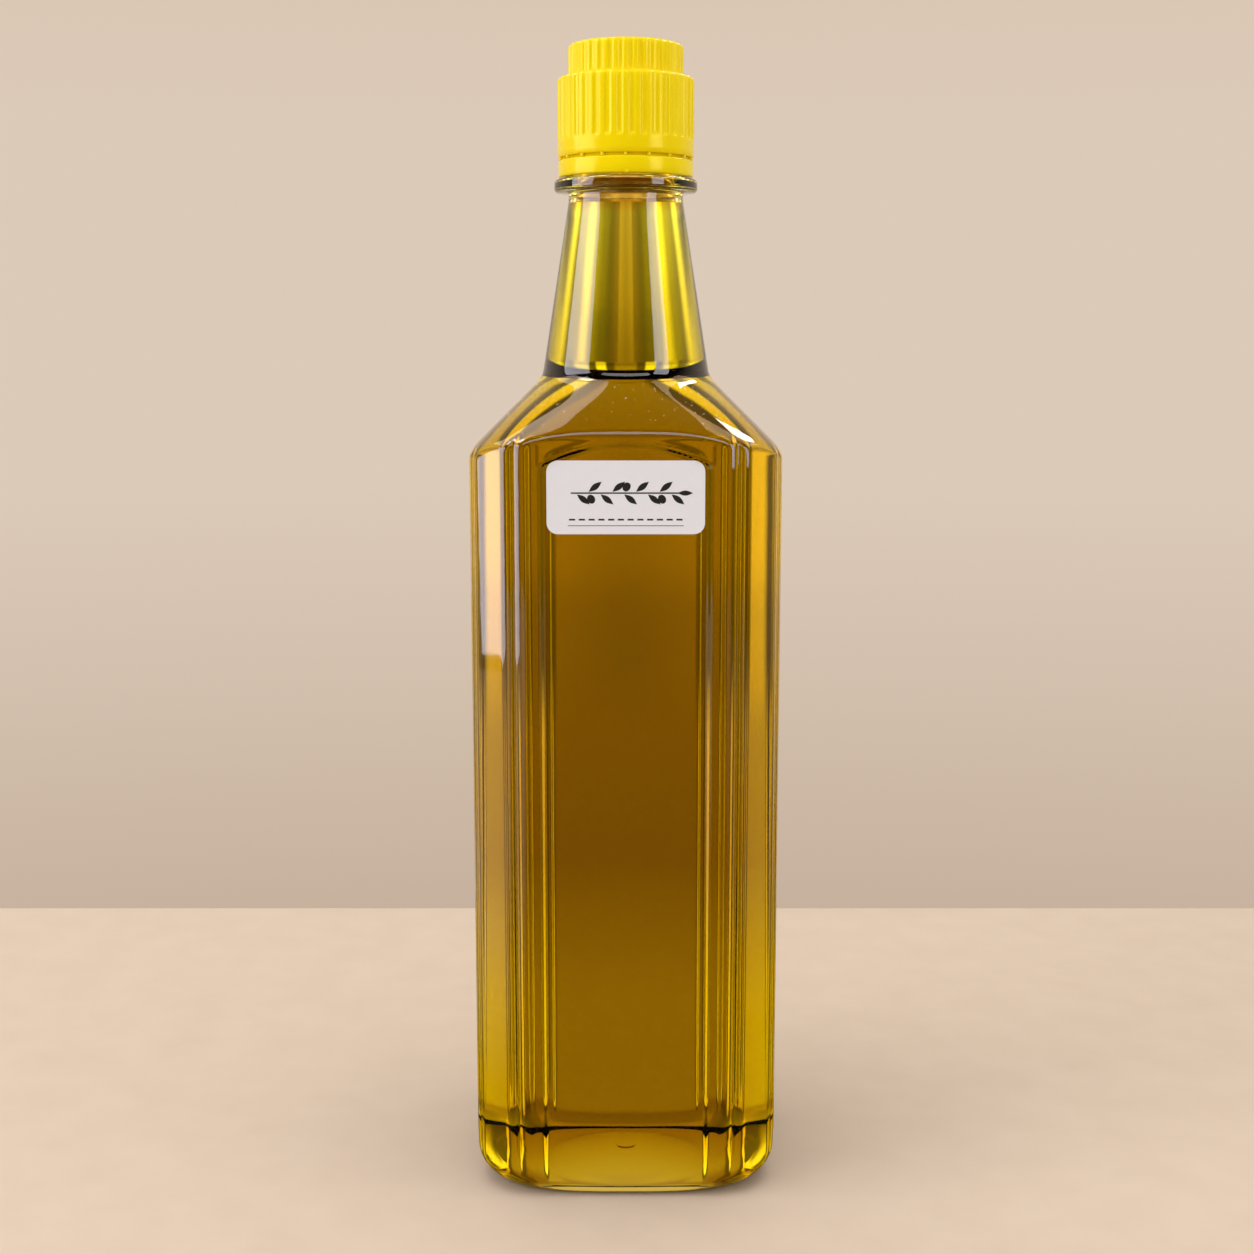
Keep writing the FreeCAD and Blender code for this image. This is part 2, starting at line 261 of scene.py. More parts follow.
def makeGlintSpots():
    # painted glints on the shoulder, standing for the light caught by small bubbles in the oil: pale, a
    # little glossy, some spots warmer than others
    look = {"pale": "F2E9D8", "warm": "D9C59A", "spread": 12.0}
    material, tree, shader, output, coords = newMaterial("paintedBubbleGlints")
    spread = addNode(tree, "ShaderNodeTexNoise",
                     {"Vector": coords, "Scale": 1000.0 / look["spread"], "Detail": 1.0})
    tone = addNode(tree, "ShaderNodeMix",
                   {0: spread.outputs["Fac"], 6: hexColour(look["pale"]), 7: hexColour(look["warm"])},
                   data_type="RGBA")
    tree.links.new(tone.outputs[2], shader.inputs["Base Color"])
    shader.inputs["Roughness"].default_value = 0.4
    return material


pet = makePet("clearMouldedPet", 1.575)
wettedPet = makePet("oilWettedPet", 1.575 / 1.47)   # the wall's inside: the oil takes off most of the shine
basePet = makePet("standingPet", 1.03, "DDAE45")   # the underside, close on the table: its light comes in
oil = makeOil()
capPlastic = makeCapPlastic()
paper = makePaper()
ink = makeInk()
glintSpots = makeGlintSpots()
print("materials made")


bottle = {
    "width": 78.8, "depth": 69.0, "cornerPanel": 8.0, "beadRun": 7.3, "beadFall": 2.5, "beadRise": 0.5,
    "frame": 2.35, "panelBevel": 1.8, "panelDepth": 0.7, "panelMarginTop": 2.6, "archRadius": 45.0,
    "archBevel": 1.5, "neckFootRadius": 21.8, "neckFoot": 211.8, "squareness": 3.75, "squareRadius": 36.0,
    "edgeRound": 2.0, "shoulderFrom": 170.0, "shoulderLeast": 5.0, "neckBlend": 1.6, "heelHeight": 11.0,
    "heelInset": 4.2, "heelMargin": 0.8, "heelRound": 2.2, "footSquareness": 3.05, "heelSquareness": 5.0,
    "footRound": 1.2, "pushupRadius": 24.0, "pushupHeight": 4.5, "gateRadius": 2.5, "gateHeight": 0.8,
    "wall": 0.45, "baseWall": 1.2, "baseWallReach": 6.0, "neckWall": 1.9, "neckTopRadius": 14.75,
    "neckTop": 256.3, "ringUnderside": 258.6, "ringRadius": 18.4, "ringThickness": 3.2, "ringEdge": 0.9,
    "ringFillet": 0.35, "finishRadius": 14.4, "mouthRadius": 12.4, "mouth": 285.0, "oilLevel": 256.6,
    "oilBite": 0.06, "fineFrom": 182.0, "fineTo": 208.5, "insideFrom": 2.0, "sidesFrom": 0.05,
    "floorRings": 11,
}


def quarterOutline():
    # places and faces from the middle of the front round to the middle of the right side
    b = bottle
    halfX, halfY = b["width"] / 2.0, b["depth"] / 2.0
    leg = b["cornerPanel"] / math.sqrt(2.0)
    start = Vector((halfX - b["beadFall"] - leg - b["beadRun"], -halfY))
    panelStart = start + Vector((b["beadRun"], b["beadFall"]))
    panelEnd = panelStart + Vector((leg, leg))
    end = panelEnd + Vector((b["beadFall"], b["beadRun"]))
    sunk = start.x - b["frame"] - b["panelBevel"]
    sideSunk = -end.y - b["frame"] - b["panelBevel"]
    points = []

    def line(low, high, count, face):
        for step in range(count):
            spot = low.lerp(high, step / count)
            points.append((spot, face))

    def beads(low, high, count):
        along = high - low
        outward = Vector((along.y, -along.x)).normalized()
        for step in range(2 * count):
            share = step / count
            rise = b["beadRise"] * abs(math.sin(math.pi * share)) ** 0.85
            points.append((low.lerp(high, share / 2.0) + outward * rise, "corner"))

    line(Vector((0.0, -halfY)), Vector((sunk, -halfY)), 15, "front")
    line(Vector((sunk, -halfY)), Vector((sunk + b["panelBevel"], -halfY)), 5, "front")
    line(Vector((sunk + b["panelBevel"], -halfY)), start, 3, "front")
    beads(start, panelStart, 9)
    line(panelStart, panelEnd, 6, "corner")
    beads(panelEnd, end, 9)
    line(end, Vector((halfX, -sideSunk - b["panelBevel"])), 3, "side")
    line(Vector((halfX, -sideSunk - b["panelBevel"])), Vector((halfX, -sideSunk)), 5, "side")
    line(Vector((halfX, -sideSunk)), Vector((halfX, 0.0)), 12, "side")
    points.append((Vector((halfX, 0.0)), "side"))
    return points, sunk, sideSunk


def fullOutline(quarter):
    # the quarter mirrored to all four, counter-clockwise seen from above, starting at the middle of the front
    def flipped(points, x, y):
        return [(Vector((p.x * x, p.y * y)), face) for p, face in points]
    back = list(reversed(quarter))
    rest = flipped(back, 1, -1)[:-1] + flipped(quarter, -1, -1)[:-1] + flipped(back, -1, 1)[:-1]
    return quarter[:-1] + rest


quarter, sunkFront, sunkSide = quarterOutline()
outline = fullOutline(quarter)


def superRadius(cos, sin, halfX, halfY, power):
    return (abs(cos / halfX) ** power + abs(sin / halfY) ** power) ** (-1.0 / power)


def panelSink(spot, face, height):
    # how deep a face's arched panel is sunk there
    b = bottle
    if face == "corner":
        return 0.0
    across, flat, reach = ((abs(spot.x), sunkFront, b["depth"] / 2.0) if face == "front"
                           else (abs(spot.y), sunkSide, b["width"] / 2.0))
    edge = flat + b["panelBevel"]
    if across >= edge:
        return 0.0
    crown = b["neckFoot"] - (reach - b["neckFootRadius"]) - b["panelMarginTop"]
    arch = crown - b["archRadius"] + math.sqrt(b["archRadius"] ** 2 - across ** 2)
    side = ease((edge - across) / b["panelBevel"])
    top = ease((arch - height) / b["archBevel"])
    return b["panelDepth"] * side * top


def outerRing(height):
    # the outside of the body, shoulder and neck's cone at one height, in metres
    b = bottle
    points = []
    for spot, face in outline:
        sink = panelSink(spot, face, height)
        x = spot.x if face != "side" else spot.x - math.copysign(sink, spot.x)
        y = spot.y if face != "front" else spot.y - math.copysign(sink, spot.y)
        reach = math.hypot(x, y)
        cos, sin = x / reach, y / reach
        radius = reach
        if height < b["heelHeight"] + 1.0:
            share = min(height / b["heelHeight"], 1.0)
            inset = b["heelInset"] * (1.0 - share) ** b["heelRound"] - b["heelMargin"]
            if height < b["footRound"]:
                inset += b["footRound"] - math.sqrt(b["footRound"] ** 2 - (b["footRound"] - height) ** 2)
            power = b["footSquareness"] + (b["heelSquareness"] - b["footSquareness"]) * share ** 0.6
            heel = superRadius(cos, sin, b["width"] / 2.0 - inset, b["depth"] / 2.0 - inset, power)
            radius = lowerOf(radius, heel, 1.0)
        if height > b["shoulderFrom"]:
            wide = b["neckFootRadius"] + b["neckFoot"] - height
            shoulder = b["shoulderLeast"]
            if wide > shoulder:
                share = ease((wide - b["neckFootRadius"]) / (b["squareRadius"] - b["neckFootRadius"]))
                shoulder = superRadius(cos, sin, wide, wide, 2.0 + (b["squareness"] - 2.0) * share)
            radius = lowerOf(radius, shoulder, b["edgeRound"])
            if height > b["neckFoot"] - 6.0:
                slope = (b["neckTopRadius"] - b["neckFootRadius"]) / (b["neckTop"] - b["neckFoot"])
                cone = b["neckFootRadius"] + slope * (height - b["neckFoot"])
                radius = -lowerOf(-radius, -cone, b["neckBlend"])
        points.append(Vector((cos * radius, sin * radius, height)) * mm)
    return points


def roundRing(radius, height):
    points = []
    for spot, face in outline:
        reach = spot.length
        points.append(Vector((spot.x / reach * radius, spot.y / reach * radius, height)) * mm)
    return points


def spread(low, high, count):
    return [low + (high - low) * step / count for step in range(count)]


def outerHeights():
    # close together at the heel and from the arches to the neck's foot, wide apart elsewhere
    low, high, top = bottle["fineFrom"], bottle["fineTo"], bottle["neckTop"]
    heel = [0.0, 0.12, 0.35, 0.7, 1.2, 1.8, 2.5, 3.3, 4.2, 5.2, 6.3, 7.5, 8.8, 10.2, 11.5]
    body = [14.0, 22.0, 45.0, 70.0, 95.0, 120.0, 145.0, 165.0, 174.0, 179.0]
    shoulder = spread(low, 200.0, 40) + spread(200.0, high, 12)
    return heel + body + shoulder + spread(high, 215.0, 12) + spread(215.0, top, 8) + [top]


def undersideRings():
    # from the standing edge inwards: the domed hollow and the gate mark
    b = bottle
    crown = b["pushupHeight"] + 0.05
    sphere = (b["pushupRadius"] ** 2 + crown ** 2) / (2.0 * crown)
    rings = [(b["pushupRadius"] + 1.3, 0.0), (b["pushupRadius"] + 0.7, 0.08), (b["pushupRadius"] + 0.1, 0.35)]
    for radius in (23.2, 21.5, 19.0, 16.0, 13.0, 10.0, 7.0, 4.5, 3.0):
        rings.append((radius, crown - sphere + math.sqrt(sphere ** 2 - radius ** 2)))
    low, gate = b["pushupHeight"] - b["gateHeight"], b["gateRadius"]
    rings += [(gate + 0.1, low + 0.75), (gate, low + 0.5), (gate - 0.2, low + 0.05), (gate - 0.6, low),
              (0.8, low)]
    return rings


def neckRings():
    # the straight neck end, support ring and finish, up to the mouth's rim
    b = bottle
    under, top, edge = b["ringUnderside"], b["ringUnderside"] + b["ringThickness"], b["ringEdge"]
    neck, fillet = b["neckTopRadius"], b["ringFillet"]
    rings = [(neck, b["neckTop"] + 1.1), (neck, under - fillet), (neck + fillet, under)]
    rings.append((b["ringRadius"] - edge, under))
    for step in range(1, 5):
        turn = math.pi / 2.0 * step / 4.0
        rings.append((b["ringRadius"] - edge + edge * math.sin(turn), under + edge - edge * math.cos(turn)))
    for step in range(0, 5):
        turn = math.pi / 2.0 * step / 4.0
        rings.append((b["ringRadius"] - edge + edge * math.cos(turn), top - edge + edge * math.sin(turn)))
    finish, mouth = b["finishRadius"], b["mouth"]
    rings += [(finish + 0.4, top), (finish, top + 0.4), (finish, mouth - 0.5), (finish - 0.5, mouth)]
    return rings


def boreRings():
    # the way back down inside the finish and the thick top of the neck
    b = bottle
    return [(b["mouthRadius"] + 0.5, b["mouth"]), (b["mouthRadius"], b["mouth"] - 0.5),
            (b["mouthRadius"], b["ringUnderside"] + b["ringThickness"]),
            (b["neckTopRadius"] - b["neckWall"], b["ringUnderside"])]


def wallAt(height):
    # the wall thickens into the base and towards the top of the neck
    b = bottle
    share = (height - b["neckFoot"]) / (b["neckTop"] - b["neckFoot"])
    if share > 0.0:
        return b["wall"] + (b["neckWall"] - b["wall"]) * min(share, 1.0)
    return b["wall"] + (b["baseWall"] - b["wall"]) * (1.0 - ease(height / b["baseWallReach"]))


def makeBottle():
    b = bottle
    heights = outerHeights()
    sheet = bmesh.new()
    outer = [startRing(sheet, outerRing(heights[0]))]
    for height in heights[1:]:
        outer.append(nextRing(sheet, outer[-1], outerRing(height)))
    under = [outer[0]]
    for radius, height in undersideRings():
        under.append(nextRing(sheet, under[-1], roundRing(radius, height)))
    sides = {face for ring in outer for vert in ring for face in vert.link_faces}
    sides = {face for face in sides if face.calc_center_median().z > b["sidesFrom"] * mm}
    closeRing(sheet, under[-1], Vector((0.0, 0.0, under[-1][0].co.z)))
    underFaces = set(sheet.faces) - sides
    bmesh.ops.recalc_face_normals(sheet, faces=sheet.faces)
    sheet.normal_update()
    if outer[len(outer) // 2][0].normal.y > 0.0:   # the faces look inwards
        bmesh.ops.reverse_faces(sheet, faces=sheet.faces)
        sheet.normal_update()
    # where the wall's inside and the oil lie behind each outer vertex
    inside, wetted = [], []
    for height, ring in zip(heights, outer):
        deep = wallAt(height) * mm
        inside.append([v.co - v.normal * deep for v in ring])
        wetted.append([v.co - v.normal * (deep - b["oilBite"] * mm) for v in ring])
    floorInside, floorWetted = [], []
    for ring in under[1:1 + b["floorRings"]]:   # the rim and the dome, short of the gate mark
        floorInside.append([v.co + Vector((0.0, 0.0, b["baseWall"] * mm)) for v in ring])
        floorWetted.append([v.co + Vector((0.0, 0.0, (b["baseWall"] - b["oilBite"]) * mm)) for v in ring])
    ring = outer[-1]
    for radius, height in neckRings() + boreRings():
        ring = nextRing(sheet, ring, roundRing(radius, height))
    ring = nextRing(sheet, ring, inside[-1])
    dryFaces = set(sheet.faces)
    keep = []   # the rings that the inside and the oil follow: every other one where they are close
    for index, height in enumerate(heights[:-1]):
        fine = b["fineFrom"] < height < b["fineTo"]
        if height > b["insideFrom"] and not (fine and index % 2):
            keep.append(index)
    for index in reversed(keep):
        ring = nextRing(sheet, ring, inside[index])
    for points in floorInside:
        ring = nextRing(sheet, ring, points)
    closeRing(sheet, ring, Vector((0.0, 0.0, ring[0].co.z)))
    for face in sheet.faces:
        face.material_index = 2 if face in underFaces else 0 if face in dryFaces else 1
    piece = finishPiece(sheet, "petBottle", "bottle_pet", pet, wettedPet, basePet)
    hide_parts("bottle")
    fill = bmesh.new()
    ring = startRing(fill, wetted[keep[0]])
    for index in keep[1:]:
        ring = nextRing(fill, ring, wetted[index])
    radius = b["neckTopRadius"] - b["neckWall"] + b["oilBite"]
    ring = nextRing(fill, ring, wetted[-1])
    ring = nextRing(fill, ring, roundRing(radius, b["oilLevel"]))
    ring = nextRing(fill, ring, roundRing(radius - 0.5, b["oilLevel"] - 0.12))
    ring = nextRing(fill, ring, roundRing(radius - 1.6, b["oilLevel"] - 0.2))
    closeRing(fill, ring, Vector((0.0, 0.0, ring[0].co.z)))
    fill.verts.ensure_lookup_table()
    ring = [fill.verts[i] for i in range(len(outline))]
    for points in floorWetted:
        ring = nextRing(fill, ring, points)
    closeRing(fill, ring, Vector((0.0, 0.0, ring[0].co.z)))
    contents = finishPiece(fill, "oliveOil", "olive_oil", oil)
    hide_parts("oil")
    return piece, contents


specks = {"count": 420, "low": 193.0, "high": 210.5, "small": 0.09, "large": 0.2, "margin": 1.0, "seed": 11}


def makeSpecks():
    # the pale spots of painted glint scattered over the shoulder, denser towards the neck, each half sunk in
    # the surface
    s = specks
    random.seed(s["seed"])
    sheet = bmesh.new()
    for step in range(s["count"]):
        height = s["high"] - (s["high"] - s["low"]) * random.random() ** 1.7
        ring = outerRing(height)
        size = s["small"] + (s["large"] - s["small"]) * random.random() ** 3.0
        place = ring[random.randrange(len(ring))]
        past = max(abs(place.x) - 0.5 * bottle["width"] * mm, abs(place.y) - 0.5 * bottle["depth"] * mm)
        if past > -s["margin"] * mm:
            continue   # none on the upright sides
        made = bmesh.ops.create_icosphere(sheet, subdivisions=1, radius=size * mm)
        bmesh.ops.translate(sheet, verts=made["verts"], vec=place)
    return finishPiece(sheet, "shoulderSpots", "bottle_pet", glintSpots)


makeBottle()
makeSpecks()
print("bottle and oil made")


cap = {
    "foot": 262.3, "band": 4.2, "slot": 0.8, "skirt": 4.4, "step": 287.2, "top": 295.3, "edge": 1.1,
    "lowerRoot": 17.1, "upperRoot": 14.3, "rib": 0.4, "ribs": 36, "perRib": 12, "bore": 15.6, "wall": 1.3,
    "bandInset": 0.15, "bandRelief": 0.3, "bridges": 18, "bridgeWidth": 0.8, "mouth": 285.0,
}


def capRing(root, height, ribShare, footDrop=0.0):
    # one ring of the cap; ribShare is how far its ribs stand out, footDrop lifts the valleys between them
    c = cap
    count = c["ribs"] * c["perRib"]
    points = []
    for step in range(count):
        turn = 2.0 * math.pi * step / count
        phase = (step % c["perRib"]) / c["perRib"]
        swell = 0.5 + 0.5 * math.cos(2.0 * math.pi * phase)
        swell = ease(ease(swell * 1.15))
        radius = root + c["rib"] * swell * ribShare
        lift = height + footDrop * (1.0 - swell)
        points.append(Vector((radius * math.cos(turn), radius * math.sin(turn), lift)) * mm)
    return points


def ribEnd(root, top):
    # the quarter round at the top of a drum, where the ribs run out
    edge = cap["edge"]
    rows = []
    for step in range(7):
        turn = math.pi / 2.0 * step / 6.0
        ribShare = max(1.0 - (step / 6.0) ** 1.6, 0.0)
        rows.append((root - edge + edge * math.cos(turn), top - edge + edge * math.sin(turn), ribShare, 0.0))
    return rows


def makeCap():
    c = cap
    slotTop = c["foot"] + c["band"] + c["slot"]
    skirtTop = slotTop + c["skirt"]
    low, high = c["lowerRoot"], c["upperRoot"]
    step, top = c["step"], c["top"]
    # root radius, height, how far the ribs stand out, how far the valleys between them are lifted
    profile = [(low + 0.1, slotTop, 0.0, 0.0), (low + 0.4, slotTop + 0.3, 0.0, 0.0),
               (low + 0.4, slotTop + 1.5, 0.0, 0.0), (low + 0.4, skirtTop - 1.2, 0.0, 0.0),
               (low + 0.4, skirtTop - 0.3, 0.0, 0.0), (low + 0.3, skirtTop - 0.05, 0.2, 0.0),
               (low + 0.12, skirtTop + 0.15, 0.7, 0.05), (low, skirtTop + 0.45, 1.0, 0.1),
               (low, skirtTop + 1.2, 1.0, 0.0), (low, skirtTop + 5.0, 1.0, 0.0), (low, step - 4.0, 1.0, 0.0)]
    profile += ribEnd(low, step)
    profile += [(high + 0.75, step, 0.0, 0.0), (high + 0.5, step + 0.03, 0.0, 0.0),
                (high + 0.2, step + 0.2, 0.4, 0.0), (high, step + 0.6, 1.0, 0.0),
                (high, step + 2.0, 1.0, 0.0), (high, top - 2.6, 1.0, 0.0)]
    profile += ribEnd(high, top)
    profile += [(high - 1.7, top - 0.02, 0.0, 0.0), (high - 2.3, top - 0.12, 0.0, 0.0),
                (6.0, top - 0.14, 0.0, 0.0), (1.0, top - 0.14, 0.0, 0.0)]
    shell = bmesh.new()
    ring = first = startRing(shell, capRing(*profile[0]))
    for row in profile[1:]:
        ring = nextRing(shell, ring, capRing(*row))
    closeRing(shell, ring, Vector((0.0, 0.0, ring[0].co.z)))
    ring = first
    inner, roof = high - c["wall"], top - c["wall"] - 0.2
    hollow = [(c["bore"], slotTop), (c["bore"], c["mouth"]), (inner, c["mouth"]), (inner, roof), (1.0, roof)]
    for radius, height in hollow:
        ring = nextRing(shell, ring, capRing(radius, height, 0.0))
    closeRing(shell, ring, Vector((0.0, 0.0, ring[0].co.z)))
    # the tamper band
    outside = low + c["rib"] - c["bandInset"]
    inside = c["bore"] + c["bandRelief"]
    foot, bandTop = c["foot"], c["foot"] + c["band"]
    sleeve, sleeveTop = inside + 0.7, slotTop + 0.05   # it backs the slot
    band = [(inside, foot + 0.1), (inside + 0.3, foot), (outside - 0.35, foot), (outside - 0.1, foot + 0.1),
            (outside, foot + 0.35), (outside, foot + 1.6), (outside, bandTop - 0.4),
            (outside - 0.1, bandTop - 0.12), (outside - 0.35, bandTop), (sleeve, bandTop),
            (sleeve, sleeveTop), (inside, sleeveTop)]
    ring = firstBand = startRing(shell, capRing(band[0][0], band[0][1], 0.0))
    for radius, height in band[1:]:
        ring = nextRing(shell, ring, capRing(radius, height, 0.0))
    bmesh.ops.bridge_loops(shell, edges=[shell.edges.get((loop[i], loop[(i + 1) % len(loop)]))
                                         for loop in (ring, firstBand) for i in range(len(loop))])
    # the thin bridges across the slot
    for bridge in range(c["bridges"]):
        turn = 2.0 * math.pi * (bridge + 0.5) / c["bridges"]
        made = bmesh.ops.create_cube(shell, size=1.0)
        deep = outside - c["bore"] - 0.2
        place = Vector((c["bore"] + 0.1 + deep / 2.0, 0.0, bandTop + c["slot"] / 2.0)) * mm
        shape = (Matrix.Rotation(turn, 4, "Z") @ Matrix.Translation(place)
                 @ Matrix.Diagonal((deep * mm, c["bridgeWidth"] * mm, (c["slot"] + 0.3) * mm, 1.0)))
        bmesh.ops.transform(shell, matrix=shape, verts=made["verts"])
    # the moulding nib under the band's front edge
    made = bmesh.ops.create_icosphere(shell, subdivisions=2, radius=0.5 * mm)
    bmesh.ops.translate(shell, verts=made["verts"], vec=Vector((0.35, -(outside - 0.25), foot + 0.28)) * mm)
    piece = finishPiece(shell, "ribbedCap", "cap_yellow", capPlastic)
    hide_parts("cap")
    return piece


makeCap()
print("cap made")


label = {
    "halfWidth": 19.49, "height": 18.1, "foot": 173.99, "corner": 2.8, "thick": 0.15, "back": -33.8,
    "inkThick": 0.02, "sprigHeight": 0.56, "sprigLong": 27.0, "stem": 0.35, "leafFrom": -11.6,
    "leafStep": 2.9, "dashFrom": -13.2, "dashStep": 2.4, "dashHeight": 3.6, "ruleLong": 28.5,
    "ruleHeight": 2.1,
}


def makeLabel():
    s = label
    sheet = bmesh.new()
    corners = [(-1, 0), (1, 0), (1, 1), (-1, 1)]
    front = s["back"] - s["thick"]
    verts = [sheet.verts.new(Vector((x * s["halfWidth"], front, s["foot"] + z * s["height"])) * mm)
             for x, z in corners]
    sheet.faces.new(verts)
    bmesh.ops.bevel(sheet, geom=verts, offset=s["corner"] * mm, affect="VERTICES", segments=10, profile=0.5,
                    material=-1)
    made = bmesh.ops.extrude_face_region(sheet, geom=sheet.faces[:])
    bmesh.ops.translate(sheet, verts=[g for g in made["geom"] if isinstance(g, bmesh.types.BMVert)],
                        vec=Vector((0.0, s["thick"] * mm, 0.0)))
    bmesh.ops.recalc_face_normals(sheet, faces=sheet.faces)
    piece = finishPiece(sheet, "paperLabel", "label_paper", paper)
    for face in piece.data.polygons:
        face.use_smooth = False
    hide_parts("label")
    return piece


def makePrint():
    # a plain olive sprig over a dashed and a thin rule, as thin raised ink
    s = label
    front = s["back"] - s["thick"]
    middle = s["foot"] + s["height"] * s["sprigHeight"]
    sheet = bmesh.new()

    def blob(x, z, long, wide, turn, sides=24, pinch=0.0):
        made = bmesh.ops.create_circle(sheet, cap_ends=True, segments=sides, radius=1.0)
        for vert in made["verts"]:
            taper = 1.0 - pinch * abs(vert.co.x) ** 2
            vert.co = Vector((vert.co.x * long, vert.co.y * wide * taper, 0.0))
        shape = (Matrix.Translation(Vector((x, front, z)) * mm) @ Matrix.Rotation(math.pi / 2.0, 4, "X")
                 @ Matrix.Rotation(math.radians(turn), 4, "Z") @ Matrix.Scale(mm, 4))
        bmesh.ops.transform(sheet, matrix=shape, verts=made["verts"])

    def bar(x, z, long, wide):
        made = bmesh.ops.create_grid(sheet, x_segments=1, y_segments=1, size=0.5)
        shape = (Matrix.Translation(Vector((x, front, z)) * mm) @ Matrix.Rotation(math.pi / 2.0, 4, "X")
                 @ Matrix.Diagonal((long * mm, wide * mm, 1.0, 1.0)))
        bmesh.ops.transform(sheet, matrix=shape, verts=made["verts"])

    bar(0.0, middle, s["sprigLong"], s["stem"])
    for step in range(9):
        x = s["leafFrom"] + step * s["leafStep"]
        side = 1 if step % 2 else -1
        blob(x + 1.2, middle + side * 1.55, 2.0, 0.72, side * 38.0, pinch=0.85)
        if step % 3 == 1:
            blob(x + 0.2, middle - side * 1.5, 1.15, 0.95, -side * 60.0)
    blob(14.6, middle, 1.9, 0.62, 0.0, pinch=0.85)
    for step in range(12):
        bar(s["dashFrom"] + step * s["dashStep"], s["foot"] + s["dashHeight"], 1.5, 0.42)
    bar(0.0, s["foot"] + s["ruleHeight"], s["ruleLong"], 0.16)
    made = bmesh.ops.extrude_face_region(sheet, geom=sheet.faces[:])
    bmesh.ops.translate(sheet, verts=[g for g in made["geom"] if isinstance(g, bmesh.types.BMVert)],
                        vec=Vector((0.0, -s["inkThick"] * mm, 0.0)))
    piece = finishPiece(sheet, "labelInk", "label_paper", ink)
    for face in piece.data.polygons:
        face.use_smooth = False
    return piece


makeLabel()
makePrint()
print("label made")


studio = {
    "table": "E4D0BA", "tableGrain": "DAC5AE", "tableBack": 0.211, "tableFront": -1.1, "tableReach": 0.8,
    "tableDrop": 0.08, "wallLow": "C4AF9B", "wall": "DCCAB8", "wallHigh": "D6C1AC", "below": "ECE2A6",
    "fill": "FFF8EF", "fillStrength": 0.68, "roomDark": 0.98, "stripLight": 4.0, "sideTint": "EAFFE0",
    # how far sideways bent light goes, and how bright it is there; soft ones are for level directions
    "strips": ((0.0, 0.25), (0.07, 0.25), (0.095, 0.09), (0.14, 0.09), (0.16, 1.0), (0.22, 1.0),
               (0.24, 0.1), (0.28, 0.13), (0.32, 0.65), (0.42, 0.65), (0.47, 0.16), (0.56, 0.2),
               (0.64, 0.9), (0.8, 0.5)),
    "softStrips": ((0.0, 0.22), (0.05, 0.27), (0.07, 0.15), (0.13, 0.11), (0.2, 0.16), (0.29, 0.3),
                   (0.36, 0.9), (0.45, 0.35), (0.55, 0.26), (0.63, 1.0), (0.74, 0.25), (0.85, 0.1)),
    "lens": 51.67, "cameraPlace": (0.0003, -0.475, 0.220), "tilt": 8.905,
}


def makeTable():
    material, tree, shader, output, coords = newMaterial("paleTableTop")
    grain = addNode(tree, "ShaderNodeTexNoise", {"Vector": coords, "Scale": 60.0, "Detail": 4.0})
    tone = addNode(tree, "ShaderNodeMix", data_type="RGBA")
    tree.links.new(grain.outputs["Fac"], tone.inputs["Factor"])
    tone.inputs[6].default_value = hexColour(studio["table"])
    tone.inputs[7].default_value = hexColour(studio["tableGrain"])
    tree.links.new(tone.outputs[2], shader.inputs["Base Color"])
    shader.inputs["Roughness"].default_value = 0.6
    # gloss finds it dark before the bottle and light at the sides
    across = addNode(tree, "ShaderNodeSeparateXYZ", {"Vector": coords}).outputs["X"]
    left = addNode(tree, "ShaderNodeMapRange",
                   {"Value": across, "From Min": -0.25, "From Max": -0.1, "To Min": 1.2, "To Max": 0.03})
    right = addNode(tree, "ShaderNodeMapRange",
                    {"Value": across, "From Min": 0.15, "From Max": 0.3, "To Min": 0.0, "To Max": 0.35})
    shine = addNode(tree, "ShaderNodeMath",
                    {0: left.outputs["Result"], 1: right.outputs["Result"]}).outputs[0]
    dim = addNode(tree, "ShaderNodeEmission", {"Color": tone.outputs[2], "Strength": shine})
    glossy = addNode(tree, "ShaderNodeLightPath").outputs["Is Glossy Ray"]
    mixed = addNode(tree, "ShaderNodeMixShader", {0: glossy, 1: shader.outputs[0], 2: dim.outputs[0]})
    tree.links.new(mixed.outputs[0], output.inputs["Surface"])
    sheet = bmesh.new()
    made = bmesh.ops.create_grid(sheet, x_segments=1, y_segments=1, size=1.0)
    for vert in made["verts"]:
        depth = studio["tableBack"] if vert.co.y > 0 else studio["tableFront"]
        vert.co = Vector((vert.co.x * studio["tableReach"], depth, -studio["tableDrop"] * mm))
    data = bpy.data.meshes.new("tableTop")
    sheet.to_mesh(data)
    sheet.free()
    data.materials.append(material)
    table = bpy.data.objects.new("tableTop", data)
    scene.collection.objects.link(table)
    table.visible_transmission = False   # through the bottle the room's lower half stands in for it
    return table


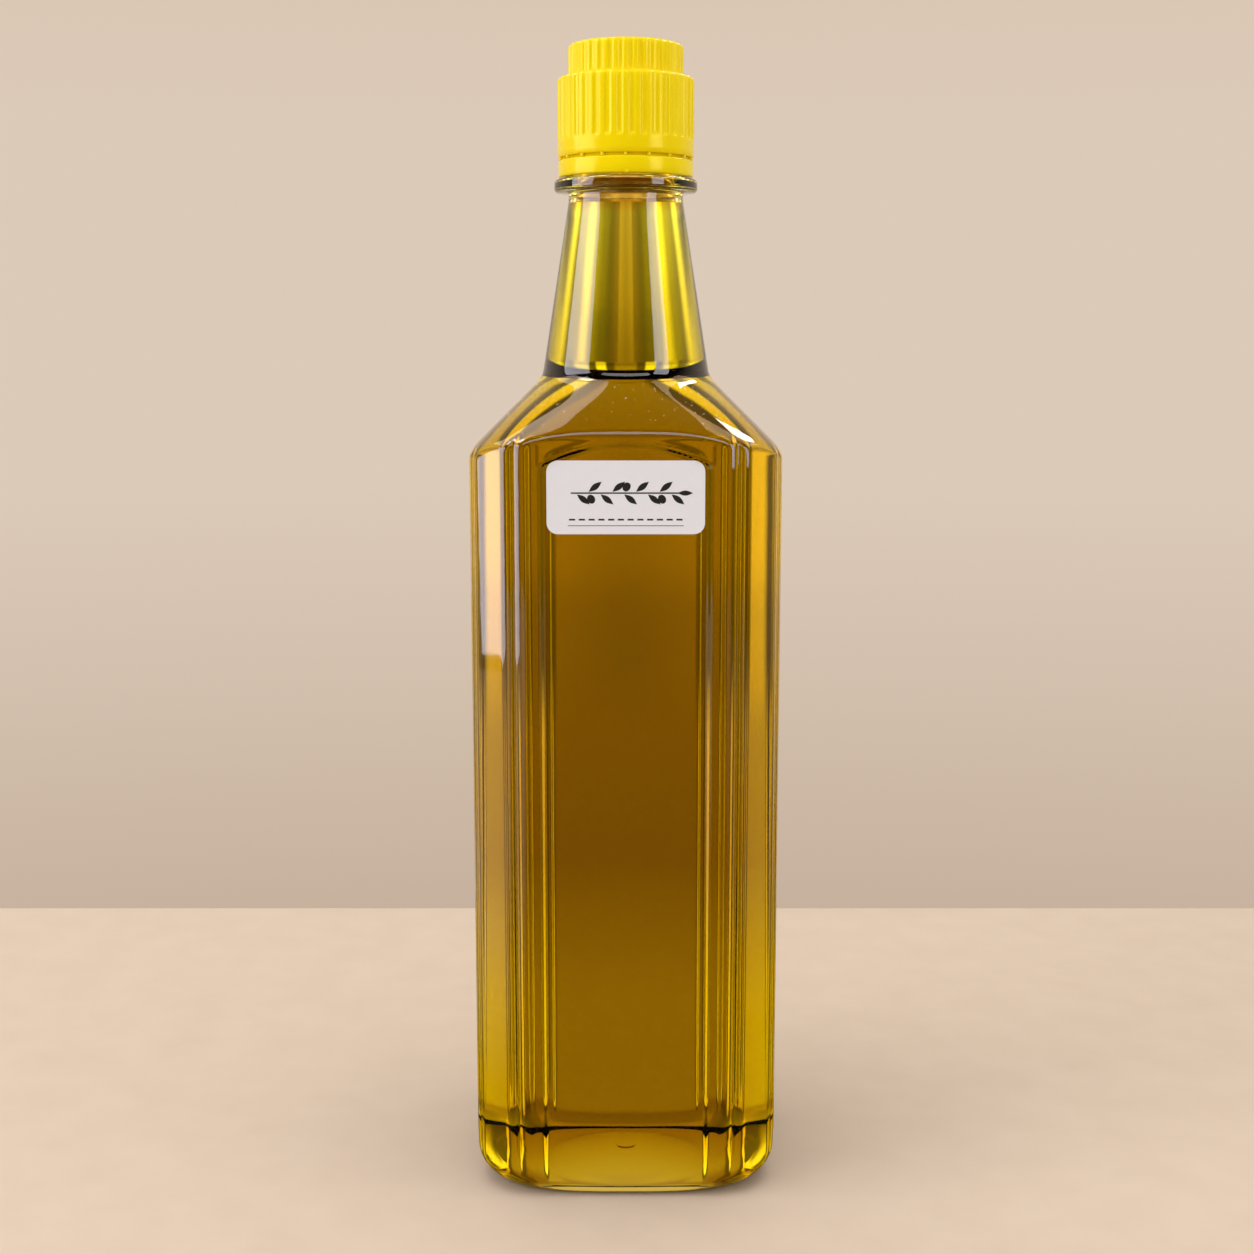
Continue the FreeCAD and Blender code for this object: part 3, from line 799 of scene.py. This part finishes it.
def makeWorld():
    # the camera sees a beige wall; light bent by the bottle finds strips of window and shade at its sides;
    # gloss finds a room that is dark on the camera's side; matt surfaces get a plain fill
    world = bpy.data.worlds.new("studioRoom")
    scene.world = world
    world.use_nodes = True
    tree = world.node_tree
    tree.nodes.clear()
    way = addNode(tree, "ShaderNodeTexCoord").outputs["Generated"]
    split = addNode(tree, "ShaderNodeSeparateXYZ", {"Vector": way}).outputs
    ramp = addNode(tree, "ShaderNodeValToRGB")
    stretch = addNode(tree, "ShaderNodeMapRange", {"Value": split["Z"], "From Min": -1.0, "From Max": 1.0})
    tree.links.new(stretch.outputs["Result"], ramp.inputs["Fac"])
    stops = ramp.color_ramp.elements
    stops[0].position, stops[0].color = 0.325, hexColour(studio["below"])
    stops[1].position, stops[1].color = 0.36, hexColour(studio["wallLow"])
    for place, colour in ((0.46, studio["wall"]), (0.56, studio["wall"]), (0.64, studio["wallHigh"])):
        stops.new(place).color = hexColour(colour)
    aside = addNode(tree, "ShaderNodeMath", {0: split["X"]}, operation="ABSOLUTE").outputs[0]

    def fade(value, low, high, start, end):
        span = {"Value": value, "From Min": low, "From Max": high, "To Min": start, "To Max": end}
        return addNode(tree, "ShaderNodeMapRange", span, interpolation_type="SMOOTHSTEP").outputs["Result"]

    def times(one, other):
        return addNode(tree, "ShaderNodeMath", {0: one, 1: other}, operation="MULTIPLY").outputs[0]

    # what bent light finds on its way sideways: wall, then dark strips and bright windows in turn
    strips = greyRamp(tree, aside, studio["strips"])
    softer = greyRamp(tree, aside, studio["softStrips"], "EASE")
    upward = fade(split["Z"], -0.22, -0.17, 0.0, 1.0)
    picked = addNode(tree, "ShaderNodeMix", {0: upward, 6: strips, 7: softer}, data_type="RGBA").outputs[2]
    level = times(picked, studio["stripLight"])
    level = times(level, fade(split["Z"], 0.55, 0.8, 1.0, 0.3))
    level = times(level, fade(split["Z"], -0.15, -0.11, 1.0, 1.3))
    room = fade(split["Y"], -0.25, 0.45, 1.0 - studio["roomDark"], 1.0)
    room = times(room, fade(split["Z"], 0.5, 0.8, 1.0, 0.25))
    plain = addNode(tree, "ShaderNodeValToRGB", {"Fac": stretch.outputs["Result"]})
    stops = plain.color_ramp.elements
    stops[0].position, stops[0].color = 0.34, hexColour(studio["wallLow"])
    stops[1].position, stops[1].color = 0.64, hexColour(studio["wallHigh"])
    for place in (0.46, 0.56):
        stops.new(place).color = hexColour(studio["wall"])
    seen = addNode(tree, "ShaderNodeBackground", {"Color": plain.outputs["Color"], "Strength": 1.0})
    outward = fade(aside, 0.09, 0.17, 0.0, 1.0)
    sides = addNode(tree, "ShaderNodeMix",
                    {0: outward, 6: ramp.outputs["Color"], 7: hexColour(studio["sideTint"])},
                    data_type="RGBA", blend_type="MULTIPLY").outputs[2]
    glass = addNode(tree, "ShaderNodeBackground", {"Color": sides, "Strength": level})
    gloss = addNode(tree, "ShaderNodeBackground", {"Color": ramp.outputs["Color"], "Strength": room})
    fill = addNode(tree, "ShaderNodeBackground",
                   {"Color": hexColour(studio["fill"]), "Strength": studio["fillStrength"]})
    path = addNode(tree, "ShaderNodeLightPath").outputs

    def choose(ray, others, chosen):
        return addNode(tree, "ShaderNodeMixShader",
                       {0: path[ray], 1: others.outputs[0], 2: chosen.outputs[0]})

    mixed = choose("Is Glossy Ray", fill, gloss)
    mixed = choose("Is Transmission Ray", mixed, glass)
    mixed = choose("Is Camera Ray", mixed, seen)
    output = addNode(tree, "ShaderNodeOutputWorld")
    tree.links.new(mixed.outputs[0], output.inputs["Surface"])


def addLamp(name, place, target, width, height, radiance, glossy, colour="FFFFFF"):
    # a soft box; a glossy one only shows as a highlight, the others light what is matt
    lamp = bpy.data.lights.new(name, "AREA")
    lamp.shape = "RECTANGLE"
    lamp.size, lamp.size_y, lamp.energy = width, height, radiance * math.pi * width * height
    lamp.color = hexColour(colour)[:3]
    holder = bpy.data.objects.new(name, lamp)
    scene.collection.objects.link(holder)
    holder.visible_camera = holder.visible_transmission = False
    holder.visible_diffuse, holder.visible_glossy = not glossy, glossy
    holder.location = place
    holder.rotation_euler = (Vector(target) - Vector(place)).to_track_quat("-Z", "Y").to_euler()
    return holder


def makeCamera():
    camera = bpy.data.cameras.new("mainCamera")
    camera.sensor_width, camera.lens = 36.0, studio["lens"]
    holder = bpy.data.objects.new("mainCamera", camera)
    scene.collection.objects.link(holder)
    holder.location = studio["cameraPlace"]
    holder.rotation_euler = (math.radians(90.0 - studio["tilt"]), 0.0, 0.0)
    scene.camera = holder


makeTable()
makeWorld()
middle = (0.0, 0.0, 0.18)
# name, place, aim, width, height, radiance, whether it is only a highlight, colour
addLamp("softLeft", (-1.6, -0.7, 1.02), middle, 1.2, 1.4, 2.3, False, "FAFAFF")
addLamp("softRight", (1.6, -0.4, 1.02), middle, 1.0, 1.4, 0.9, False)
addLamp("softTop", (0.0, -0.4, 2.22), middle, 1.8, 1.4, 1.9, False, "F6F6FF")
addLamp("windowLeft", (-0.76, -0.22, 0.32), middle, 0.6, 0.66, 5.0, True, "F3EEFF")
addLamp("windowRight", (0.63, -0.49, 0.42), middle, 0.3, 0.6, 5.0, True, "EEF0FF")
addLamp("windowHighRight", (0.5, 0.43, 0.88), middle, 0.22, 0.3, 10.0, True)
addLamp("windowHighLeft", (-0.62, -0.16, 1.05), middle, 0.25, 0.3, 9.0, True)
addLamp("ceilingLeft", (-0.45, 0.1, 0.9), middle, 0.6, 0.7, 3.0, True, "FFEBD2")
addLamp("ceilingRight", (0.5, 0.1, 0.87), middle, 0.45, 0.6, 2.6, True, "FFDDAA")
addLamp("frontHigh", (0.0, -0.62, 0.75), middle, 0.9, 0.22, 3.0, True)
makeCamera()
print("floor, light and camera made")
